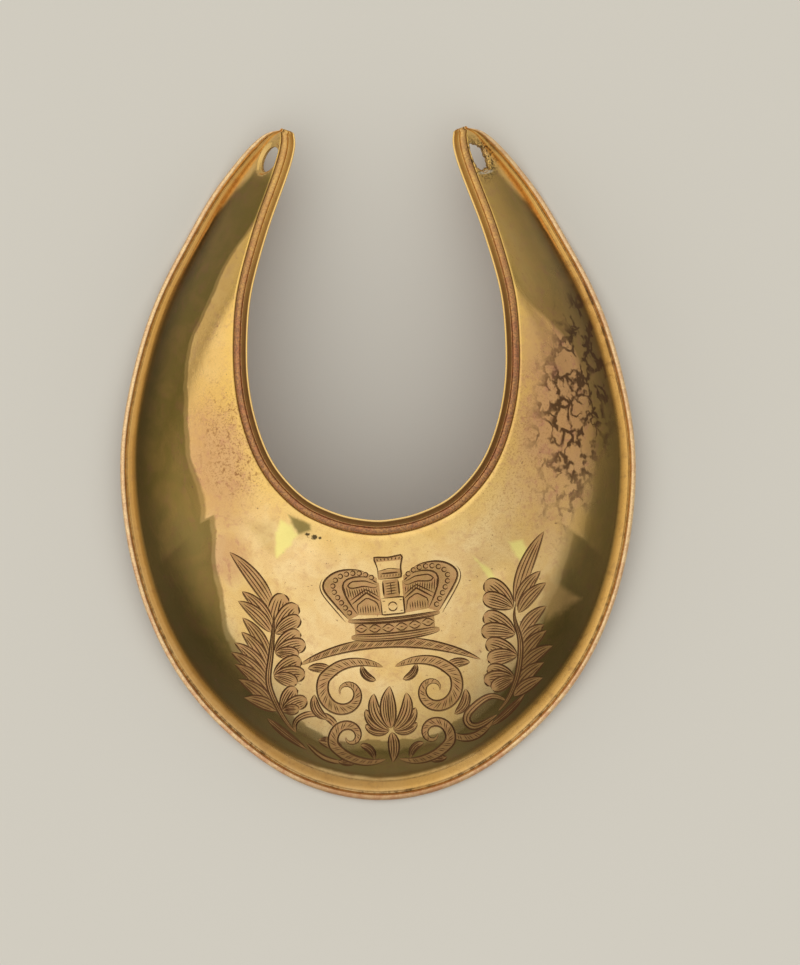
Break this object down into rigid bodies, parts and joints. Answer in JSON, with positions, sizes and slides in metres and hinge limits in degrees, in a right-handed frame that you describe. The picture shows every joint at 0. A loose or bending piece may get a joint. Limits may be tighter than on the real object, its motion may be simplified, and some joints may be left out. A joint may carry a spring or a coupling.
{
  "type": "military gorget",
  "caption": "Crescent throat plate of gilt copper sheet, domed, with a rolled outer rim, a reeded neck rim and a ribbon hole in each horn tip.",
  "frame": {"origin": "middle of the crescent's extent in X and Y, on the surface that it lies on", "axes": "+Z out of the front face, +Y towards the horn tips, +X to the right as seen from the front"},
  "size_m": [0.0864, 0.113, 0.0225],
  "materials": {
    "gilt_copper": "fire-gilt copper, polished, with the gilding worn to copper on the rims and tarnished olive, pink and brown"
  },
  "bodies": {
    "root": {"gorget_plate": "gilt_copper"}
  },
  "joints": []
}
